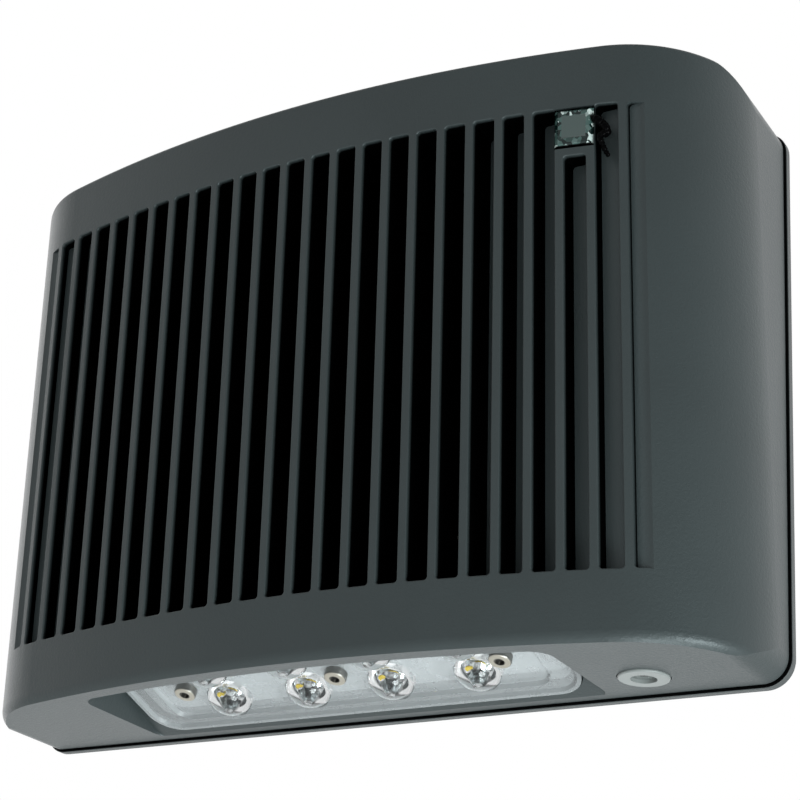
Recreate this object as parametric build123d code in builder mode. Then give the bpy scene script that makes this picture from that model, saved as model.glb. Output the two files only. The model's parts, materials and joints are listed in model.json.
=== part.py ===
from build123d import *
import os
from math import asin, atan2, cos, pi, radians, sin, sqrt, tan

os.makedirs("parts", exist_ok=True)

# Wall plate, the wall plane is y = 0 and the front looks along -Y
plate_width = 307.0
plate_height = 208.4
plate_thickness = 3.0
plate_corner = 9.5
plate_edge_round = 0.4
plate_overhang = 0.9

# Housing shell
front_depth = 81.4
front_lean = 5.4
front_radius = 529.0
end_radius = 48.0
wall = 3.0
edge_round = 5.0
top_round = 1.2
underside_trim = 1.2
rim_gasket_thickness = 1.2
rim_gasket_width = 1.6
rim_gasket_inset = 1.0

# Grille of ribs
rib_count = 24
rib_tip = 3.0
grille_side = 25.4
grille_margin = 22.7
slot_depth = 18.0
slot_corner = 1.2
rib_round = 0.5
shallow_slot = 2.0

# Light recess in the underside and the tilted optic in it
optic_tilt = 18.0
optic_setback = 11.6
optic_rise = 1.0
lens_margin = 64.6
lens_depth = 43.0
lens_rear = 0.6
lens_corner = 11.0
lens_plate = 2.5
lens_rim = 2.4
lens_rim_height = 1.0
lens_field_sink = 1.2
lens_field_end = 11.0
lens_field_side = 4.6
lens_clearance = 0.3
lens_gasket_thickness = 1.0
lens_flange = 4.0
recess_gap = 4.5
recess_rear_wall = 1.4
recess_corner = 8.0
recess_draft = 15.0
lip_width = 7.5
led_columns = 4
led_rows = 2
led_end = 37.0
led_row_pitch = 17.5
dome_radius = 8.4
dome_height = 5.2
dome_hollow_radius = 4.4
dome_hollow_height = 2.6
led_package_side = 5.0
led_package_height = 0.8
led_phosphor_radius = 1.9
led_phosphor_height = 0.5
board_thickness = 1.6
board_margin = 0.8
board_gap = 2.0
pad_thickness = 1.0
tray_wall = 4.0
tray_side_wall = 6.0

# Optic screws
lens_screw_inset = 23.8
lens_screw_shank = 2.0
lens_screw_head = 4.0
lens_screw_head_height = 3.0
lens_screw_socket = 3.2
lens_screw_reach = 3.2
screw_clearance = 0.2
thread_clearance = 0.05

# Photocell window near the top right of the grille
window_slot = 10
window_width = 13.8
window_height = 15.0
window_glass = 4.6
window_bevel = 1.5
window_seal = 0.6
window_seal_width = 1.6
window_bar = 2.7
window_front = 0.3
window_clearance = 0.15
sensor_radius = 3.3
sensor_thickness = 2.6
holder_bore = 3.6
holder_flange_radius = 6.0
holder_flange = 2.0
fit_clearance = 0.05

# Test button in the underside
button_inset = 41.8
button_setback = 22.0
bezel_radius = 8.5
bezel_face = 1.8
bezel_round = 0.6
bezel_sink = 1.6
bezel_seal_thickness = 0.5
bezel_pad_height = 2.0
bezel_clearance = 0.3
bushing_radius = 6.6
button_radius = 4.3
button_sink = 1.3
button_travel = 1.6
button_running = 0.06
button_collar = 5.4
button_collar_height = 1.8
indicator_radius = 2.6
indicator_depth = 1.5
bezel_nut_across = 17.0
bezel_nut_height = 3.0
switch_wall = 1.8
switch_lap = 4.0
spring_packed = 5.6
switch_roof = 3.0
spring_radius = 3.6
spring_wire = 0.35
spring_turns = 4
contact_width = 2.8
contact_thickness = 0.8
contact_height = 5.0
contact_spacing = 7.0

# Screws that hold the housing on the wall plate
housing_screw_slot = 6
housing_screw_z = 62.0
housing_screw_sink = 4.0
housing_screw_shank = 2.0
housing_screw_head = 3.5
housing_screw_head_height = 4.0
housing_screw_socket = 3.0
housing_screw_end = 5.0
counterbore_radius = 3.8
screw_seal_thickness = 1.0
screw_seal_radius = 3.3
column_radius = 6.2
standoff_height = 11.0
standoff_radius = 5.5

# Gear inside the housing
gear_screw_radius = 1.5
gear_screw_head = 2.8
gear_screw_head_height = 1.8
gear_screw_reach = 5.0
gear_boss_radius = 3.6
tab_thickness = 1.5
tab_length = 14.0
tab_width = 12.0
gear_edge_round = 1.5
driver_length = 120.0
driver_height = 30.0
driver_thickness = 25.0
driver_z = 8.0
driver_standoff = 7.2
charger_length = 96.0
charger_height = 22.0
charger_thickness = 21.0
charger_z = 43.0
charger_standoff = 9.0
cell_radius = 13.0
cell_length = 65.0
cell_gap = 1.0
cell_cap_radius = 4.5
cell_cap_height = 1.0
cell_count = 2
battery_z = -38.0
cradle_standoff = 4.6
cradle_wall = 2.0
cradle_lap = 18.0
cradle_clearance = 0.15

# Pieces on the wall plate
wire_hole_radius = 11.0
grommet_flange_radius = 14.5
grommet_flange = 2.5
grommet_bore = 6.0
grommet_fit = 0.1
box_hole_spacing = 88.9
box_hole_radius = 2.6
anchor_spacing_x = 240.0
anchor_spacing_z = 150.0
anchor_hole_radius = 3.25
terminal_x = -90.0
terminal_z = 16.0
terminal_length = 38.0
terminal_height = 20.0
terminal_thickness = 13.0
terminal_ways = 3
terminal_way_pitch = 12.0
terminal_screw_radius = 2.4
terminal_screw_sink = 1.0
terminal_screw_length = 5.0
ground_x = -90.0
ground_z = -20.0
ground_boss_radius = 5.5
ground_boss_height = 3.0
ground_screw_radius = 2.0
ground_head_across = 8.0
ground_head_height = 3.0

# Leads
lead_radius = 1.6
wire_radius = 1.2
lead_bend = 7.0
led_lead_inset = 14.0
led_grommet_radius = 4.0
led_grommet_flange = 6.0
led_grommet_lip = 1.5

# Worked out from the sizes above
housing_width = plate_width - 2 * plate_overhang
housing_height = plate_height - 2 * plate_overhang
housing_corner = plate_corner - plate_overhang
rim = plate_thickness + rim_gasket_thickness
lean_angle = radians(front_lean)
lean = tan(lean_angle)
underside = -housing_height / 2
rib_pitch = (housing_width - 2 * grille_side) / rib_count
grille_height = housing_height - 2 * grille_margin
slot_width = rib_pitch - rib_tip
grille_half_width = rib_pitch * rib_count / 2
rounded_half_width = sqrt(front_radius**2 - (front_radius - slot_depth + shallow_slot) ** 2)
past_front = front_depth + lean * housing_height
end_x = housing_width / 2 - end_radius
front_centre_y = front_radius - front_depth * cos(lean_angle)
end_y = front_centre_y - sqrt((front_radius - end_radius) ** 2 - end_x**2)
join_angle = atan2(end_x, front_centre_y - end_y)

face_plane = Plane(origin=(0, -front_depth, 0), x_dir=(1, 0, 0), z_dir=(0, -1, -lean))
floor_plane = face_plane.offset(-slot_depth)
inner_plane = face_plane.offset(-slot_depth - wall)

tilt = radians(optic_tilt)
optic_plane = Plane(
    origin=(0, -optic_setback, underside + optic_rise),
    x_dir=(1, 0, 0),
    z_dir=(0, -sin(tilt), -cos(tilt)),
)
lens_length = housing_width - 2 * lens_margin
lens_mid = lens_rear + lens_depth / 2
recess_half_width = lens_length / 2 + recess_gap
led_pitch = (lens_length - 2 * led_end) / (led_columns - 1)
lens_screw_pitch = lens_length / 2 - lens_screw_inset
led_lead_x = led_lead_inset - lens_length / 2
button_x = housing_width / 2 - button_inset
lens_back = lens_plate + lens_field_sink
board_face = lens_back + board_gap
pad_face = board_face + board_thickness
tray_face = pad_face + pad_thickness
tray_back = tray_face + tray_wall
pocket_length = lens_length - 2 * lens_flange
pocket_depth = lens_depth - 2 * lens_flange

screw_x = housing_screw_slot * rib_pitch
screw_places = [(x, z) for x in (-screw_x, screw_x) for z in (-housing_screw_z, housing_screw_z)]
standoff_end = plate_thickness + standoff_height
slot_floor = front_depth - slot_depth / cos(lean_angle)
housing_screw_seat = slot_floor - lean * housing_screw_z - housing_screw_sink


def lean_at(z):
    # How far the front stands forward of its mid height place at height z
    return lean * z


def inner_y(z):
    # Distance from the wall to the back of the grille floor at height z
    return slot_floor - wall / cos(lean_angle) + lean_at(z)


def slot_end(x):
    # Outer edge of the slot that x lies in
    return round(abs(x) / rib_pitch) * rib_pitch + slot_width / 2


def bow_solid(inset):
    # Leaning block that ends at the bowed front, drawn in by inset
    front_r = front_radius - inset
    end_r = end_radius - inset
    bottom = underside - past_front
    half_turn = (join_angle + pi / 2) / 2
    join = (front_r * sin(join_angle), front_centre_y - front_r * cos(join_angle))
    middle = (end_x + end_r * sin(half_turn), end_y - end_r * cos(half_turn))
    side = (end_x + end_r, end_y)
    back = (end_x + end_r, front_depth)
    with BuildPart() as block:
        with BuildSketch(Plane(origin=(0, -lean_at(bottom), bottom), x_dir=(1, 0, 0), z_dir=(0, -lean, 1))):
            with BuildLine():
                ThreePointArc((-join[0], join[1]), (0, front_centre_y - front_r), join)
                ThreePointArc(join, middle, side)
                Polyline(side, back, (-back[0], back[1]), (-side[0], side[1]))
                ThreePointArc((-side[0], side[1]), (-middle[0], middle[1]), (-join[0], join[1]))
            make_face()
        extrude(amount=-2 * bottom)
    return block.part


def lead_tube(points, radius, bend):
    # Round lead along straight runs with tangent bends
    with BuildPart() as tube:
        with BuildLine() as route:
            if len(points) > 2:
                FilletPolyline(*points, radius=bend)
            else:
                Line(*points)
        with BuildSketch(Plane(origin=route.wire() @ 0, z_dir=route.wire() % 0)):
            Circle(radius)
        sweep()
    return tube.part


# Hollow of the housing, with the grille floor, the light tray and the screw columns left standing
with BuildPart() as grille_block:
    with BuildSketch(inner_plane):
        Rectangle(2 * (grille_half_width + slot_width), grille_height + 2 * wall)
    extrude(amount=past_front, dir=(0, -1, 0))

with BuildPart() as tray_block:
    with BuildSketch(optic_plane.offset(-tray_back)):
        with Locations((0, lens_mid)):
            Rectangle(lens_length + 2 * tray_side_wall, 2 * front_depth)
    extrude(amount=tray_back + front_depth)

with BuildPart() as hollow:
    add(bow_solid(wall))
    split(bisect_by=Plane.XZ.offset(rim), keep=Keep.TOP)
    split(bisect_by=Plane.XY.offset(underside + wall), keep=Keep.TOP)
    split(bisect_by=Plane.XY.offset(-underside - wall), keep=Keep.BOTTOM)
    with BuildSketch(Plane.XZ):
        RectangleRounded(housing_width - 2 * wall, housing_height - 2 * wall, housing_corner - wall)
    extrude(amount=past_front, mode=Mode.INTERSECT)
    add(grille_block.part, mode=Mode.SUBTRACT)
    add(tray_block.part, mode=Mode.SUBTRACT)
    with BuildSketch(Plane.XZ.offset(standoff_end)):
        with Locations(*screw_places):
            Circle(column_radius)
    extrude(amount=past_front, mode=Mode.SUBTRACT)

# Slots between the ribs, cut down to one leaning floor
slot_top = grille_height / 2
window_z = slot_top - window_height / 2 - 2 * window_clearance
bar_z = window_z - window_height / 2 - window_clearance - window_bar
with BuildPart() as slots:
    with BuildSketch(Plane.XZ):
        for place in range(-rib_count // 2, rib_count // 2 + 1):
            top = bar_z if place == window_slot else slot_top
            with Locations((place * rib_pitch, (top - slot_top) / 2)):
                RectangleRounded(slot_width, top + slot_top, slot_corner)
    extrude(amount=past_front)
    split(bisect_by=floor_plane, keep=Keep.TOP)

# Light recess, drafted from the underside up to the plane of the optic
lip_radius = front_radius - lip_width
lip_y = front_radius - front_depth - lean_at(underside)
recess_back = -rim - recess_rear_wall
corner_y = lip_y - sqrt(lip_radius**2 - recess_half_width**2)
with BuildPart() as recess:
    with BuildSketch(Plane.XY.offset(underside)) as recess_outline:
        with BuildLine():
            left = (-recess_half_width, corner_y)
            right = (recess_half_width, corner_y)
            ThreePointArc(left, (0, lip_y - lip_radius), right)
            Polyline(right, (right[0], recess_back), (left[0], recess_back), left)
        make_face()
        fillet(recess_outline.vertices(), radius=recess_corner)
    extrude(amount=lens_depth, taper=recess_draft)
    split(bisect_by=optic_plane, keep=Keep.TOP)

# Places that several pieces share
window_x = window_slot * rib_pitch
window_turn = asin(window_x / front_radius)
window_drop = front_radius * (1 - cos(window_turn)) - window_front
window_y = -front_depth + window_drop / cos(lean_angle) - lean_at(window_z)
window_plane = Plane(
    origin=(window_x, window_y, window_z),
    x_dir=(cos(window_turn), sin(window_turn), 0),
    z_dir=(sin(window_turn), -cos(window_turn), -lean * cos(window_turn)),
)
window_seat = window_glass + window_seal
window_floor = window_plane.from_local_coords((0, 0, -window_seat))
sensor_plane = Plane(origin=window_floor, x_dir=(1, 0, 0), z_dir=face_plane.z_dir)
sensor_sink = holder_bore * tan(window_turn)
sensor_inside = inner_plane.to_local_coords(window_floor).Z
button_plane = Plane(origin=(button_x, -button_setback, underside))
bezel_out = bezel_face + bezel_seal_thickness - bezel_sink
nut_seat = wall + bezel_pad_height
bushing_end = nut_seat + bezel_nut_height + switch_lap
switch_chamber = button_collar_height + spring_packed + button_travel
switch_top = bushing_end + switch_chamber + switch_roof
lens_screw_places = [(-lens_screw_pitch, lens_mid), (0, lens_mid), (lens_screw_pitch, lens_mid)]
led_places = GridLocations(led_pitch, led_row_pitch, led_columns, led_rows)
driver_base = inner_y(driver_z) - driver_standoff
charger_base = inner_y(charger_z) - charger_standoff
cradle_base = inner_y(battery_z) - cradle_standoff
driver_tab_x = (driver_length + tab_length) / 2
charger_tab_x = (charger_length + tab_length) / 2
battery_length = cell_count * cell_length + (cell_count - 1) * cell_gap
cradle_tab_x = (battery_length + tab_length) / 2
gear_bosses = [
    (driver_tab_x, driver_z, driver_base),
    (charger_tab_x, charger_z, charger_base),
    (cradle_tab_x, battery_z, cradle_base),
]

# Front housing: bowed casting with the grille, the light tray and the screw columns
with BuildPart() as front_housing:
    add(bow_solid(0))
    split(bisect_by=Plane.XZ.offset(rim), keep=Keep.TOP)
    split(bisect_by=Plane.XY.offset(underside - underside_trim), keep=Keep.TOP)
    split(bisect_by=Plane.XY.offset(-underside), keep=Keep.BOTTOM)
    rear_edges = front_housing.faces().sort_by(Axis.Y)[-1].edges()
    fillet(front_housing.faces().sort_by(Axis.Z)[0].edges() - rear_edges, radius=edge_round)
    rear_edges = front_housing.faces().sort_by(Axis.Y)[-1].edges()
    fillet(front_housing.faces().sort_by(Axis.Z)[-1].edges() - rear_edges, radius=top_round)
    split(bisect_by=Plane.XY.offset(underside), keep=Keep.TOP)
    with BuildSketch(Plane.XZ):
        RectangleRounded(housing_width, housing_height, housing_corner)
    extrude(amount=past_front, mode=Mode.INTERSECT)
    add(hollow.part, mode=Mode.SUBTRACT)
    add(slots.part, mode=Mode.SUBTRACT)
    rib_edges = front_housing.edges(Select.NEW)
    rib_edges = rib_edges - rib_edges.filter_by(Axis.Y)
    rib_edges = rib_edges.filter_by(lambda edge: floor_plane.to_local_coords(edge.center()).Z > rib_round)
    rib_edges = rib_edges.filter_by(lambda edge: slot_end(edge.center().X) < rounded_half_width)
    fillet(rib_edges, radius=rib_round)
    add(recess.part, mode=Mode.SUBTRACT)
    # Seat of the optic, with the deeper pocket of the light board in it
    with BuildSketch(optic_plane.offset(-lens_plate - lens_gasket_thickness)):
        with Locations((0, lens_mid)):
            RectangleRounded(lens_length + 2 * lens_clearance, lens_depth + 2 * lens_clearance, lens_corner)
    extrude(amount=lens_plate + lens_gasket_thickness + lens_rim_height, mode=Mode.SUBTRACT)
    with BuildSketch(optic_plane.offset(-tray_face)):
        with Locations((0, lens_mid)):
            RectangleRounded(pocket_length, pocket_depth, lens_corner - lens_flange)
    extrude(amount=tray_face, mode=Mode.SUBTRACT)
    with BuildSketch(optic_plane.offset(-tray_face)):
        with Locations(*lens_screw_places):
            Circle(lens_screw_shank + thread_clearance)
    extrude(amount=-lens_screw_reach, mode=Mode.SUBTRACT)
    with BuildSketch(optic_plane.offset(-tray_face)):
        with Locations((led_lead_x, lens_mid)):
            Circle(led_grommet_radius)
    extrude(amount=-tray_wall, mode=Mode.SUBTRACT)
    # Seat and through hole of the photocell
    with BuildSketch(window_plane.offset(-window_seat)):
        Rectangle(window_width + 2 * window_clearance, window_height + 2 * window_clearance)
    extrude(amount=past_front, mode=Mode.SUBTRACT)
    with BuildSketch(sensor_plane.offset(sensor_sink)):
        Circle(holder_bore)
    extrude(amount=-sensor_sink - sensor_inside, mode=Mode.SUBTRACT)
    # Pad, sunk seat and hole of the test button
    with BuildSketch(button_plane.offset(wall)):
        Circle(bezel_radius + wall)
    extrude(amount=bezel_pad_height)
    with BuildSketch(button_plane):
        Circle(bezel_radius + bezel_clearance)
    extrude(amount=bezel_sink, mode=Mode.SUBTRACT)
    with BuildSketch(button_plane):
        Circle(bushing_radius + fit_clearance)
    extrude(amount=nut_seat, mode=Mode.SUBTRACT)
    # Sunk seats and holes of the housing screws
    with BuildSketch(Plane.XZ.offset(housing_screw_seat)):
        with Locations(*screw_places):
            Circle(counterbore_radius)
    extrude(amount=past_front, mode=Mode.SUBTRACT)
    with BuildSketch(Plane.XZ.offset(standoff_end)):
        with Locations(*screw_places):
            Circle(housing_screw_shank + screw_clearance)
    extrude(amount=past_front, mode=Mode.SUBTRACT)
    # Threaded bosses of the gear behind the grille floor
    for boss_x, boss_z, boss_end in gear_bosses:
        with BuildSketch(Plane.XZ.offset(boss_end)):
            with Locations((-boss_x, boss_z), (boss_x, boss_z)):
                Circle(gear_boss_radius)
        extrude(amount=inner_y(boss_z) + wall / 2 - boss_end)
        with BuildSketch(Plane.XZ.offset(boss_end)):
            with Locations((-boss_x, boss_z), (boss_x, boss_z)):
                Circle(gear_screw_radius + thread_clearance)
        extrude(amount=gear_screw_reach, mode=Mode.SUBTRACT)
front_housing.part.label = "front_housing"
export_step(front_housing.part, "parts/front_housing.step")

# Wall plate with the standoffs, the cable hole and the wall fixing holes
with BuildPart() as wall_plate:
    with BuildSketch(Plane.XZ):
        RectangleRounded(plate_width, plate_height, plate_corner)
    extrude(amount=plate_thickness)
    fillet(wall_plate.faces().sort_by(Axis.Y)[0].edges(), radius=plate_edge_round)
    with BuildSketch(Plane.XZ.offset(plate_thickness)):
        with Locations(*screw_places):
            Circle(standoff_radius)
    extrude(amount=standoff_height)
    with BuildSketch(Plane.XZ.offset(plate_thickness)):
        with Locations((ground_x, ground_z)):
            Circle(ground_boss_radius)
    extrude(amount=ground_boss_height)
    with BuildSketch(Plane.XZ):
        Circle(wire_hole_radius)
        with GridLocations(box_hole_spacing, 0, 2, 1):
            Circle(box_hole_radius)
        with GridLocations(anchor_spacing_x, anchor_spacing_z, 2, 2):
            Circle(anchor_hole_radius)
    extrude(amount=plate_thickness, mode=Mode.SUBTRACT)
    with BuildSketch(Plane.XZ.offset(housing_screw_end)):
        with Locations(*screw_places):
            Circle(housing_screw_shank + thread_clearance)
    extrude(amount=standoff_end, mode=Mode.SUBTRACT)
    with BuildSketch(Plane.XZ.offset(plate_thickness)):
        with Locations((ground_x, ground_z)):
            Circle(ground_screw_radius + thread_clearance)
    extrude(amount=ground_boss_height, mode=Mode.SUBTRACT)
wall_plate.part.label = "wall_plate"
export_step(wall_plate.part, "parts/wall_plate.step")

# Gasket between the housing's rim and the wall plate
gasket_width = housing_width - 2 * rim_gasket_inset
gasket_height = housing_height - 2 * rim_gasket_inset
gasket_corner = housing_corner - rim_gasket_inset
with BuildPart() as plate_gasket:
    with BuildSketch(Plane.XZ.offset(plate_thickness)):
        RectangleRounded(gasket_width, gasket_height, gasket_corner)
        RectangleRounded(
            gasket_width - 2 * rim_gasket_width,
            gasket_height - 2 * rim_gasket_width,
            gasket_corner - rim_gasket_width,
            mode=Mode.SUBTRACT,
        )
    extrude(amount=rim_gasket_thickness)
plate_gasket.part.label = "plate_gasket"
export_step(plate_gasket.part, "parts/plate_gasket.step")

# Clear optic cover: raised rim, flat flange, sunk field and eight hollow domes
field_length = lens_length - 2 * lens_field_end
field_depth = lens_depth - 2 * lens_field_side
dome_sphere = (dome_radius**2 + dome_height**2) / (2 * dome_height)
hollow_sphere = (dome_hollow_radius**2 + dome_hollow_height**2) / (2 * dome_hollow_height)
with BuildPart() as dome:
    with BuildSketch(Plane.XZ):
        with Locations((0, dome_height - dome_sphere)):
            Circle(dome_sphere)
        with Locations((0, -dome_sphere)):
            Rectangle(4 * dome_sphere, 2 * dome_sphere, mode=Mode.SUBTRACT)
        with Locations((-dome_sphere, 0)):
            Rectangle(2 * dome_sphere, 4 * dome_sphere, mode=Mode.SUBTRACT)
    revolve(axis=Axis.Z)
with BuildPart() as dome_hollow:
    with BuildSketch(Plane.XZ):
        with Locations((0, dome_hollow_height - hollow_sphere)):
            Circle(hollow_sphere)
        with Locations((0, -hollow_sphere)):
            Rectangle(4 * hollow_sphere, 2 * hollow_sphere, mode=Mode.SUBTRACT)
        with Locations((-hollow_sphere, 0)):
            Rectangle(2 * hollow_sphere, 4 * hollow_sphere, mode=Mode.SUBTRACT)
    revolve(axis=Axis.Z)
optic_middle = Plane(
    origin=optic_plane.from_local_coords((0, lens_mid, 0)), x_dir=(1, 0, 0), z_dir=optic_plane.z_dir
)
with BuildPart() as optic_cover:
    with BuildSketch(optic_middle.offset(-lens_plate)):
        RectangleRounded(lens_length, lens_depth, lens_corner)
    extrude(amount=lens_plate + lens_rim_height)
    with BuildSketch(optic_middle):
        RectangleRounded(lens_length - 2 * lens_rim, lens_depth - 2 * lens_rim, lens_corner - lens_rim)
    extrude(amount=lens_rim_height, taper=-45, mode=Mode.SUBTRACT)
    with BuildSketch(optic_middle.offset(-lens_back)):
        RectangleRounded(field_length, field_depth, lens_corner - lens_field_side)
    extrude(amount=lens_back)
    with BuildSketch(optic_middle.offset(-lens_field_sink)):
        RectangleRounded(
            field_length - 2 * lens_field_sink,
            field_depth - 2 * lens_field_sink,
            lens_corner - lens_field_side - lens_field_sink,
        )
    extrude(amount=lens_field_sink, taper=-45, mode=Mode.SUBTRACT)
    for place in led_places.locations:
        spot = optic_middle.offset(-lens_field_sink).location * place
        add(dome.part.moved(spot))
        spot = optic_middle.offset(-lens_back).location * place
        add(dome_hollow.part.moved(spot), mode=Mode.SUBTRACT)
    with BuildSketch(optic_plane.offset(-lens_back)):
        with Locations(*lens_screw_places):
            Circle(lens_screw_shank + screw_clearance)
    extrude(amount=lens_back, mode=Mode.SUBTRACT)
optic_cover.part.label = "optic_cover"
export_step(optic_cover.part, "parts/optic_cover.step")

# Gasket under the optic's flange
with BuildPart() as lens_gasket:
    with BuildSketch(optic_middle.offset(-lens_plate)):
        RectangleRounded(lens_length, lens_depth, lens_corner)
        RectangleRounded(pocket_length, pocket_depth, lens_corner - lens_flange, mode=Mode.SUBTRACT)
    extrude(amount=-lens_gasket_thickness)
lens_gasket.part.label = "lens_gasket"
export_step(lens_gasket.part, "parts/lens_gasket.step")

# Light board on its thermal pad
board_length = pocket_length - 2 * board_margin
board_depth = pocket_depth - 2 * board_margin
with BuildPart() as led_board:
    with BuildSketch(optic_middle.offset(-pad_face)):
        RectangleRounded(board_length, board_depth, lens_corner - lens_flange - board_margin)
    extrude(amount=board_thickness)
    with BuildSketch(optic_plane.offset(-pad_face)):
        with Locations(*lens_screw_places):
            Circle(lens_screw_shank + screw_clearance)
    extrude(amount=board_thickness, mode=Mode.SUBTRACT)
led_board.part.label = "led_board"
export_step(led_board.part, "parts/led_board.step")

with BuildPart() as thermal_pad:
    with BuildSketch(optic_middle.offset(-tray_face)):
        RectangleRounded(board_length, board_depth, lens_corner - lens_flange - board_margin)
    extrude(amount=pad_thickness)
    with BuildSketch(optic_plane.offset(-tray_face)):
        with Locations(*lens_screw_places):
            Circle(lens_screw_shank + screw_clearance)
        with Locations((led_lead_x, lens_mid)):
            Circle(led_grommet_radius)
    extrude(amount=pad_thickness, mode=Mode.SUBTRACT)
thermal_pad.part.label = "thermal_pad"
export_step(thermal_pad.part, "parts/thermal_pad.step")

# Light emitters: ceramic packages with a phosphor disc on each
with BuildPart() as led_packages:
    with BuildSketch(optic_middle.offset(-board_face)):
        with led_places:
            Rectangle(led_package_side, led_package_side)
    extrude(amount=led_package_height)
led_packages.part.label = "led_packages"
export_step(led_packages.part, "parts/led_packages.step")

with BuildPart() as led_phosphors:
    with BuildSketch(optic_middle.offset(led_package_height - board_face)):
        with led_places:
            Circle(led_phosphor_radius)
    extrude(amount=led_phosphor_height)
led_phosphors.part.label = "led_phosphors"
export_step(led_phosphors.part, "parts/led_phosphors.step")

# Three screws through the optic into the tray
with BuildPart() as lens_screws:
    with BuildSketch(optic_plane.offset(-lens_field_sink)):
        with Locations(*lens_screw_places):
            Circle(lens_screw_head)
    extrude(amount=lens_screw_head_height)
    head_rims = lens_screws.edges().group_by(Axis(optic_plane.origin, optic_plane.z_dir))[-1]
    fillet(head_rims, radius=lens_screw_head_height / 4)
    with BuildSketch(optic_plane.offset(-lens_field_sink + lens_screw_head_height)):
        with Locations(*lens_screw_places):
            RegularPolygon(lens_screw_socket / 2, 6, major_radius=False)
    extrude(amount=-lens_screw_head_height / 2, mode=Mode.SUBTRACT)
    with BuildSketch(optic_plane.offset(-lens_field_sink)):
        with Locations(*lens_screw_places):
            Circle(lens_screw_shank)
    extrude(amount=lens_field_sink - tray_face - lens_screw_reach)
lens_screws.part.label = "lens_screws"
export_step(lens_screws.part, "parts/lens_screws.step")

# Photocell: bevelled window, its seal, the sensor and its holder
with BuildPart() as photocell_window:
    with BuildSketch(window_plane.offset(-window_glass)):
        Rectangle(window_width, window_height)
    extrude(amount=window_glass)
    window_faces = photocell_window.faces().sort_by(Axis(window_plane.origin, window_plane.z_dir))
    chamfer(window_faces[-1].edges(), length=window_bevel)
photocell_window.part.label = "photocell_window"
export_step(photocell_window.part, "parts/photocell_window.step")

with BuildPart() as photocell_seal:
    with BuildSketch(window_plane.offset(-window_seat)):
        Rectangle(window_width, window_height)
        Rectangle(
            window_width - 2 * window_seal_width, window_height - 2 * window_seal_width, mode=Mode.SUBTRACT
        )
    extrude(amount=window_seal)
photocell_seal.part.label = "photocell_seal"
export_step(photocell_seal.part, "parts/photocell_seal.step")

with BuildPart() as photocell_sensor:
    with BuildSketch(sensor_plane.offset(-sensor_sink)):
        Circle(sensor_radius)
    extrude(amount=-sensor_thickness)
photocell_sensor.part.label = "photocell_sensor"
export_step(photocell_sensor.part, "parts/photocell_sensor.step")

with BuildPart() as photocell_holder:
    with BuildSketch(sensor_plane.offset(-sensor_sink - sensor_thickness)):
        Circle(holder_bore - fit_clearance)
    extrude(amount=sensor_sink + sensor_thickness - sensor_inside)
    with BuildSketch(sensor_plane.offset(-sensor_inside)):
        Circle(holder_flange_radius)
    extrude(amount=-holder_flange)
photocell_holder.part.label = "photocell_holder"
export_step(photocell_holder.part, "parts/photocell_holder.step")

# Test button: bezel with its bushing, seal, nut, plunger, indicator, spring and switch
bezel_bore = button_radius + button_running
with BuildPart() as button_bezel:
    with BuildSketch(button_plane.offset(-bezel_out)):
        Circle(bezel_radius)
    extrude(amount=bezel_face)
    fillet(button_bezel.edges().group_by(Axis.Z)[0], radius=bezel_round)
    with BuildSketch(button_plane.offset(bezel_face - bezel_out)):
        Circle(bushing_radius)
    extrude(amount=bushing_end - bezel_face + bezel_out)
    with BuildSketch(button_plane.offset(-bezel_out)):
        Circle(bezel_bore)
    extrude(amount=bushing_end + bezel_out, mode=Mode.SUBTRACT)
button_bezel.part.label = "button_bezel"
export_step(button_bezel.part, "parts/button_bezel.step")

with BuildPart() as bezel_seal:
    with BuildSketch(button_plane.offset(bezel_face - bezel_out)):
        Circle(bezel_radius)
        Circle(bushing_radius + fit_clearance, mode=Mode.SUBTRACT)
    extrude(amount=bezel_seal_thickness)
bezel_seal.part.label = "bezel_seal"
export_step(bezel_seal.part, "parts/bezel_seal.step")

with BuildPart() as bezel_nut:
    with BuildSketch(button_plane.offset(nut_seat)):
        RegularPolygon(bezel_nut_across / 2, 6, major_radius=False)
        Circle(bushing_radius + thread_clearance, mode=Mode.SUBTRACT)
    extrude(amount=bezel_nut_height)
bezel_nut.part.label = "bezel_nut"
export_step(bezel_nut.part, "parts/bezel_nut.step")

with BuildPart() as test_button:
    with BuildSketch(button_plane.offset(button_sink - bezel_out)):
        Circle(button_radius)
    extrude(amount=bushing_end - button_sink + bezel_out)
    with BuildSketch(button_plane.offset(bushing_end)):
        Circle(button_collar)
    extrude(amount=button_collar_height)
    with BuildSketch(button_plane.offset(button_sink - bezel_out)):
        Circle(indicator_radius)
    extrude(amount=indicator_depth, mode=Mode.SUBTRACT)
test_button.part.label = "test_button"
export_step(test_button.part, "parts/test_button.step")

with BuildPart() as indicator_lens:
    with BuildSketch(button_plane.offset(button_sink - bezel_out)):
        Circle(indicator_radius)
    extrude(amount=indicator_depth)
indicator_lens.part.label = "indicator_lens"
export_step(indicator_lens.part, "parts/indicator_lens.step")

with BuildPart() as switch_body:
    with BuildSketch(button_plane.offset(nut_seat + bezel_nut_height)):
        Circle(bushing_radius + fit_clearance + switch_wall)
    extrude(amount=switch_top - nut_seat - bezel_nut_height)
    with BuildSketch(button_plane.offset(nut_seat + bezel_nut_height)):
        Circle(bushing_radius + fit_clearance)
    extrude(amount=switch_lap + switch_chamber, mode=Mode.SUBTRACT)
switch_body.part.label = "switch_body"
export_step(switch_body.part, "parts/switch_body.step")

with BuildPart() as switch_contacts:
    with BuildSketch(button_plane.offset(switch_top)):
        with GridLocations(0, contact_spacing, 1, 2):
            Rectangle(contact_width, contact_thickness)
    extrude(amount=contact_height)
switch_contacts.part.label = "switch_contacts"
export_step(switch_contacts.part, "parts/switch_contacts.step")

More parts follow.
